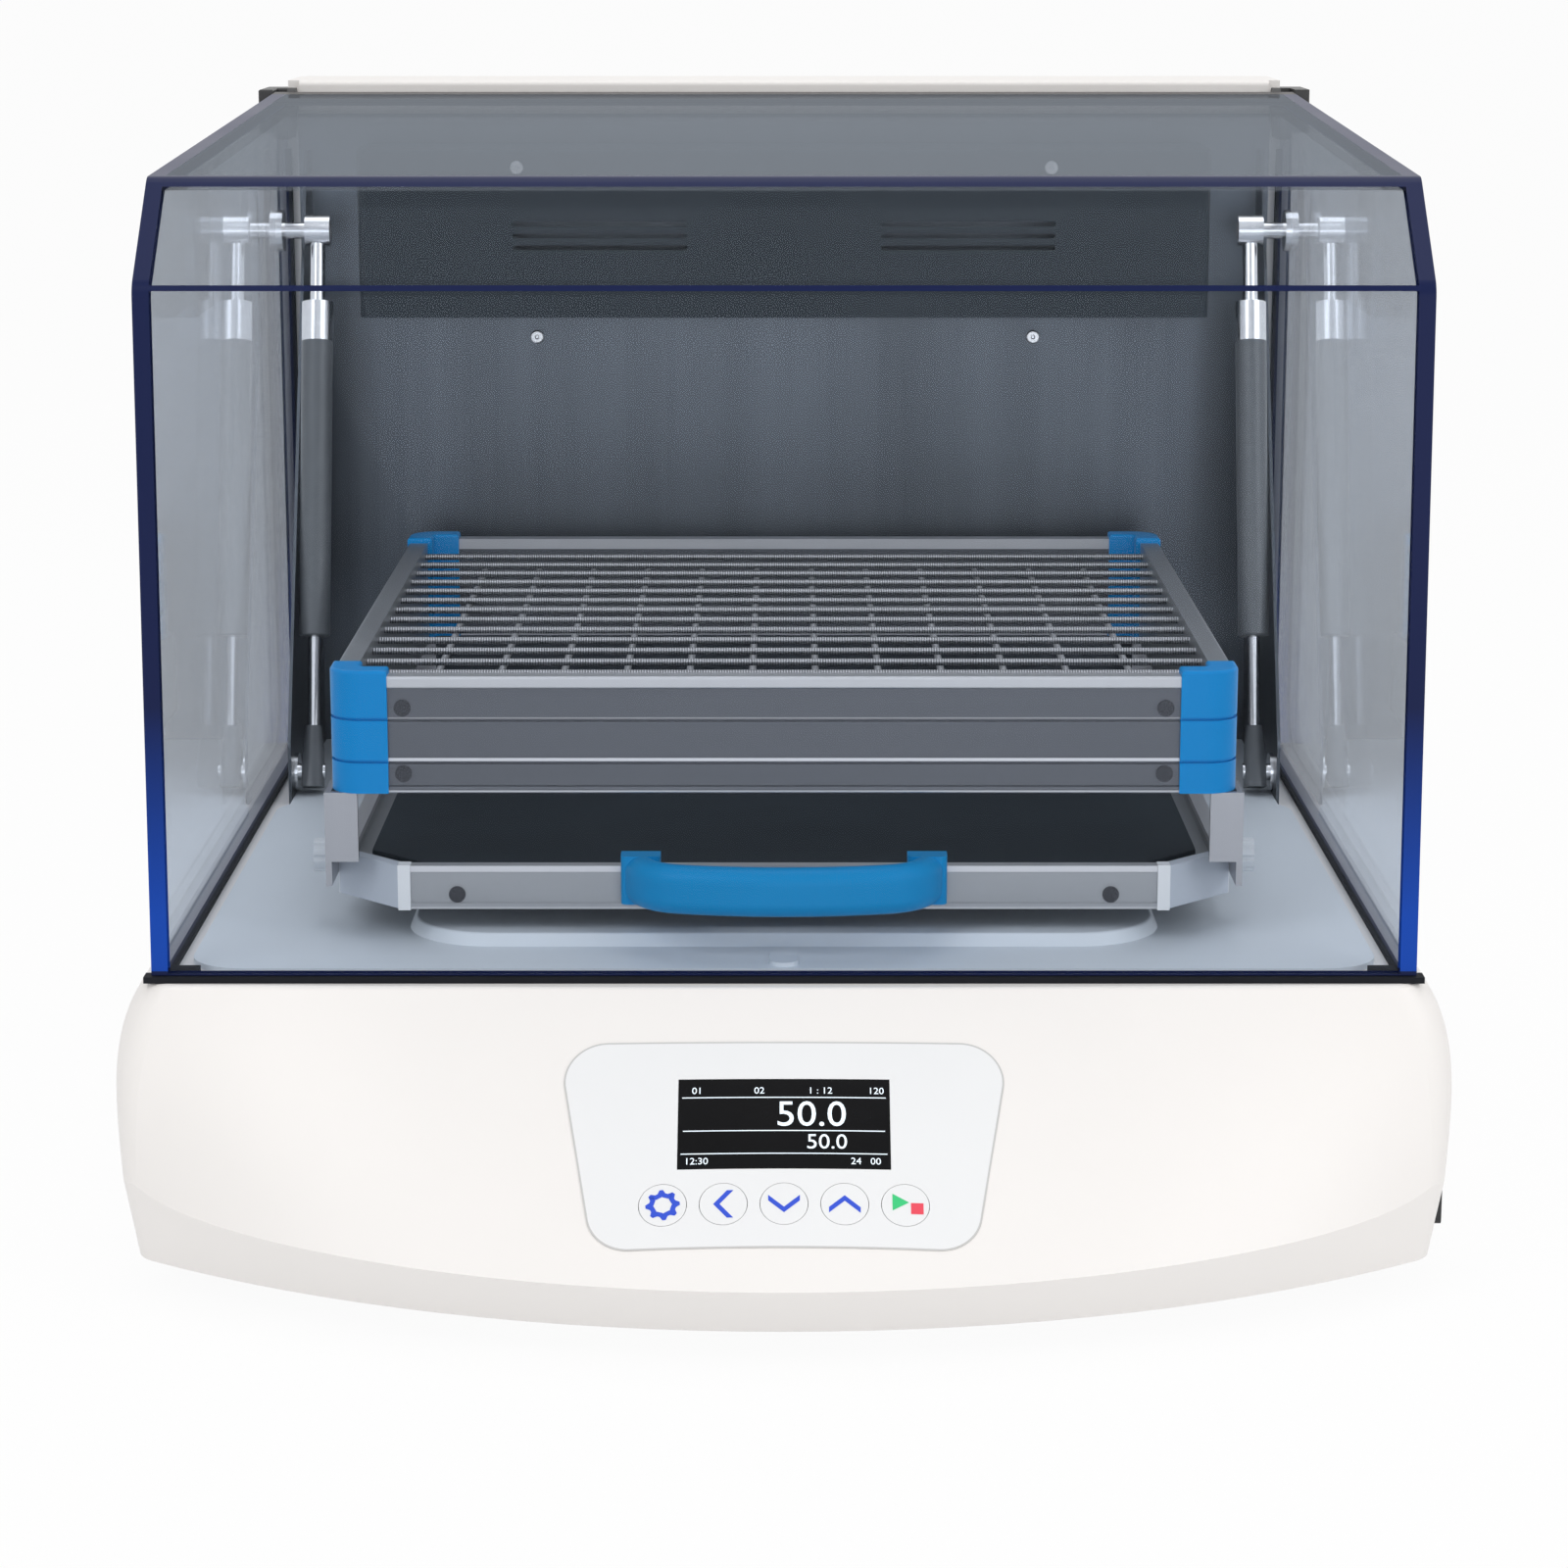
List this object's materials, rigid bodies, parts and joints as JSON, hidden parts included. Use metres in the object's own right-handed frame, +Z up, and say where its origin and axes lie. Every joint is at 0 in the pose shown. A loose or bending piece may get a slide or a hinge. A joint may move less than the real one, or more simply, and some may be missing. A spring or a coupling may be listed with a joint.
{
  "type": "shaker incubator",
  "caption": "Bench top orbital shaker in a heated chamber: white base with a bowed fascia, tilting clear hood, and a platform with a spring wire clamp frame.",
  "frame": {"origin": "centre of the overall box at the bottom of the feet", "axes": "+X to the user's right, +Y to the back of the instrument, +Z up"},
  "size_m": [0.5306, 0.6419, 0.4568],
  "materials": {
    "white_cover": "moulded, satin white",
    "housing_paint": "white powder coat",
    "galvanised": "plain steel sheet",
    "foot_rubber": "black",
    "overlay_film": "printed film, light grey",
    "display": "black window",
    "board": "circuit board",
    "black_plastic": "black moulding",
    "supply_case": "grey case",
    "floor_moulding": "light grey blue moulding",
    "seal_rubber": "black",
    "liner_steel": "brushed stainless",
    "duct_steel": "dark grey",
    "bright_steel": "bright steel",
    "motor_case": "black",
    "heater_sheath": "tubular heater",
    "hood_acrylic": "tinted clear sheet",
    "aluminium": "satin anodised",
    "belt_rubber": "black",
    "mat_rubber": "dark mat",
    "grey_plastic": "light grey moulding",
    "blue_plastic": "blue moulding",
    "knob_plastic": "translucent white",
    "spring_wire": "spring steel",
    "strut_black": "black tube",
    "key_film": "printed key"
  },
  "bodies": {
    "root": {"base_cover": "white_cover", "bottom_plate": "galvanised", "feet": "foot_rubber", "control_overlay": "overlay_film", "display_window": "display", "control_board": "board", "switch_bezel": "black_plastic", "power_inlet": "black_plastic", "power_supply": "supply_case", "chamber_floor": "floor_moulding", "hood_seal": "seal_rubber", "back_liner": "liner_steel", "duct_cover": "duct_steel", "fan_motor": "motor_case", "heater_element": "heater_sheath", "temperature_probe": "bright_steel", "rear_housing": "housing_paint", "rear_cover": "housing_paint", "hinge_blocks": "black_plastic", "hinge_pins": "bright_steel", "strut_base_studs": "bright_steel", "bearing_housings": "aluminium", "drive_motor": "motor_case", "drive_belt": "belt_rubber"},
    "hood": {"hood_cover": "hood_acrylic", "hood_sides": "hood_acrylic", "hood_hinge_plates": "black_plastic", "hood_strut_studs": "bright_steel"},
    "strut_rod_left": {"strut_rod_left": "bright_steel"},
    "strut_rod_right": {"strut_rod_right": "bright_steel"},
    "strut_cylinder_left": {"strut_cylinder_left": "strut_black"},
    "strut_cylinder_right": {"strut_cylinder_right": "strut_black"},
    "drive_spindle": {"drive_spindle": "bright_steel", "driven_pulley": "aluminium"},
    "idler_crank_left": {"idler_crank_left": "bright_steel"},
    "idler_crank_right": {"idler_crank_right": "bright_steel"},
    "motor_pulley": {"motor_pulley": "aluminium"},
    "platform": {"carrier_plate": "aluminium", "carrier_bearings": "bright_steel", "lower_tray": "aluminium", "tray_mat": "mat_rubber", "tray_rails": "aluminium", "tray_corners": "grey_plastic", "tray_handle": "blue_plastic", "clamp_rails_cross": "aluminium", "clamp_rails_side": "aluminium", "clamp_corners": "blue_plastic", "corner_posts": "aluminium", "cross_wires": "spring_wire", "long_wires": "spring_wire", "rail_screws": "bright_steel"},
    "side_knob_left": {"side_knob_left": "knob_plastic"},
    "side_knob_right": {"side_knob_right": "knob_plastic"},
    "rocker_switch": {"rocker_switch": "blue_plastic"},
    "fan_wheel": {"fan_wheel": "black_plastic"},
    "key_menu": {"key_menu": "key_film"},
    "key_left": {"key_left": "key_film"},
    "key_down": {"key_down": "key_film"},
    "key_up": {"key_up": "key_film"},
    "key_run": {"key_run": "key_film"}
  },
  "joints": [
    {"name": "hood_hinge", "type": "hinge", "parent": "root", "child": "hood", "pos_m": [0, 0.25645, 0.4473], "axis": [-1, 0, 0], "range_deg": [0, 70]},
    {"name": "drive_spin", "type": "hinge", "parent": "root", "child": "drive_spindle", "pos_m": [0, 0.13395, 0.124], "axis": [0, 0, 1], "continuous": true},
    {"name": "platform_orbit", "type": "hinge", "parent": "drive_spindle", "child": "platform", "pos_m": [0, 0.12395, 0.139], "axis": [0, 0, 1], "continuous": true},
    {"name": "motor_spin", "type": "hinge", "parent": "root", "child": "motor_pulley", "pos_m": [-0.14, 0.13395, 0.084], "axis": [0, 0, 1], "continuous": true},
    {"name": "fan_spin", "type": "hinge", "parent": "root", "child": "fan_wheel", "pos_m": [0, 0.24096, 0.3868], "axis": [0, 1, 0], "continuous": true},
    {"name": "power_rocker", "type": "hinge", "parent": "root", "child": "rocker_switch", "pos_m": [0.258, -0.19604, 0.0385], "axis": [0, -1, 0], "range_deg": [0, 14]},
    {"name": "strut_pivot_left", "type": "hinge", "parent": "root", "child": "strut_rod_left", "pos_m": [-0.225, 0.12596, 0.1368], "axis": [1, 0, 0], "range_deg": [0, 7.55]},
    {"name": "strut_slide_left", "type": "slide", "parent": "strut_rod_left", "child": "strut_cylinder_left", "axis": [0, 0.2898, 0.9571], "range_m": [0, 0.08376]},
    {"name": "idler_spin_left", "type": "hinge", "parent": "root", "child": "idler_crank_left", "pos_m": [-0.115, -0.04605, 0.124], "axis": [0, 0, 1], "continuous": true},
    {"name": "knob_turn_left", "type": "hinge", "parent": "platform", "child": "side_knob_left", "pos_m": [-0.184, -0.12104, 0.155], "axis": [-1, 0, 0], "range_deg": [0, 360]},
    {"name": "strut_pivot_right", "type": "hinge", "parent": "root", "child": "strut_rod_right", "pos_m": [0.225, 0.12596, 0.1368], "axis": [1, 0, 0], "range_deg": [0, 7.55]},
    {"name": "strut_slide_right", "type": "slide", "parent": "strut_rod_right", "child": "strut_cylinder_right", "axis": [0, 0.2898, 0.9571], "range_m": [0, 0.08376]},
    {"name": "idler_spin_right", "type": "hinge", "parent": "root", "child": "idler_crank_right", "pos_m": [0.115, -0.04605, 0.124], "axis": [0, 0, 1], "continuous": true},
    {"name": "knob_turn_right", "type": "hinge", "parent": "platform", "child": "side_knob_right", "pos_m": [0.184, -0.12104, 0.155], "axis": [1, 0, 0], "range_deg": [0, 360]},
    {"name": "key_menu_press", "type": "slide", "parent": "root", "child": "key_menu", "axis": [0, 0.651, -0.7591], "range_m": [0, 0.0005], "stiffness_N_per_m": 2000},
    {"name": "key_left_press", "type": "slide", "parent": "root", "child": "key_left", "axis": [0, 0.651, -0.7591], "range_m": [0, 0.0005], "stiffness_N_per_m": 2000},
    {"name": "key_down_press", "type": "slide", "parent": "root", "child": "key_down", "axis": [0, 0.651, -0.7591], "range_m": [0, 0.0005], "stiffness_N_per_m": 2000},
    {"name": "key_up_press", "type": "slide", "parent": "root", "child": "key_up", "axis": [0, 0.651, -0.7591], "range_m": [0, 0.0005], "stiffness_N_per_m": 2000},
    {"name": "key_run_press", "type": "slide", "parent": "root", "child": "key_run", "axis": [0, 0.651, -0.7591], "range_m": [0, 0.0005], "stiffness_N_per_m": 2000}
  ],
  "couplings": [
    {"joint": "platform_orbit", "follows": "drive_spin", "ratio": -1},
    {"joint": "motor_spin", "follows": "drive_spin", "ratio": 3.0556},
    {"joint": "strut_pivot_left", "follows": "hood_hinge", "ratio": 0.10768},
    {"joint": "strut_slide_left", "follows": "hood_hinge", "m_per_rad": 0.06848},
    {"joint": "idler_spin_left", "follows": "drive_spin", "ratio": 1},
    {"joint": "strut_pivot_right", "follows": "hood_hinge", "ratio": 0.10768},
    {"joint": "strut_slide_right", "follows": "hood_hinge", "m_per_rad": 0.06848},
    {"joint": "idler_spin_right", "follows": "drive_spin", "ratio": 1}
  ]
}
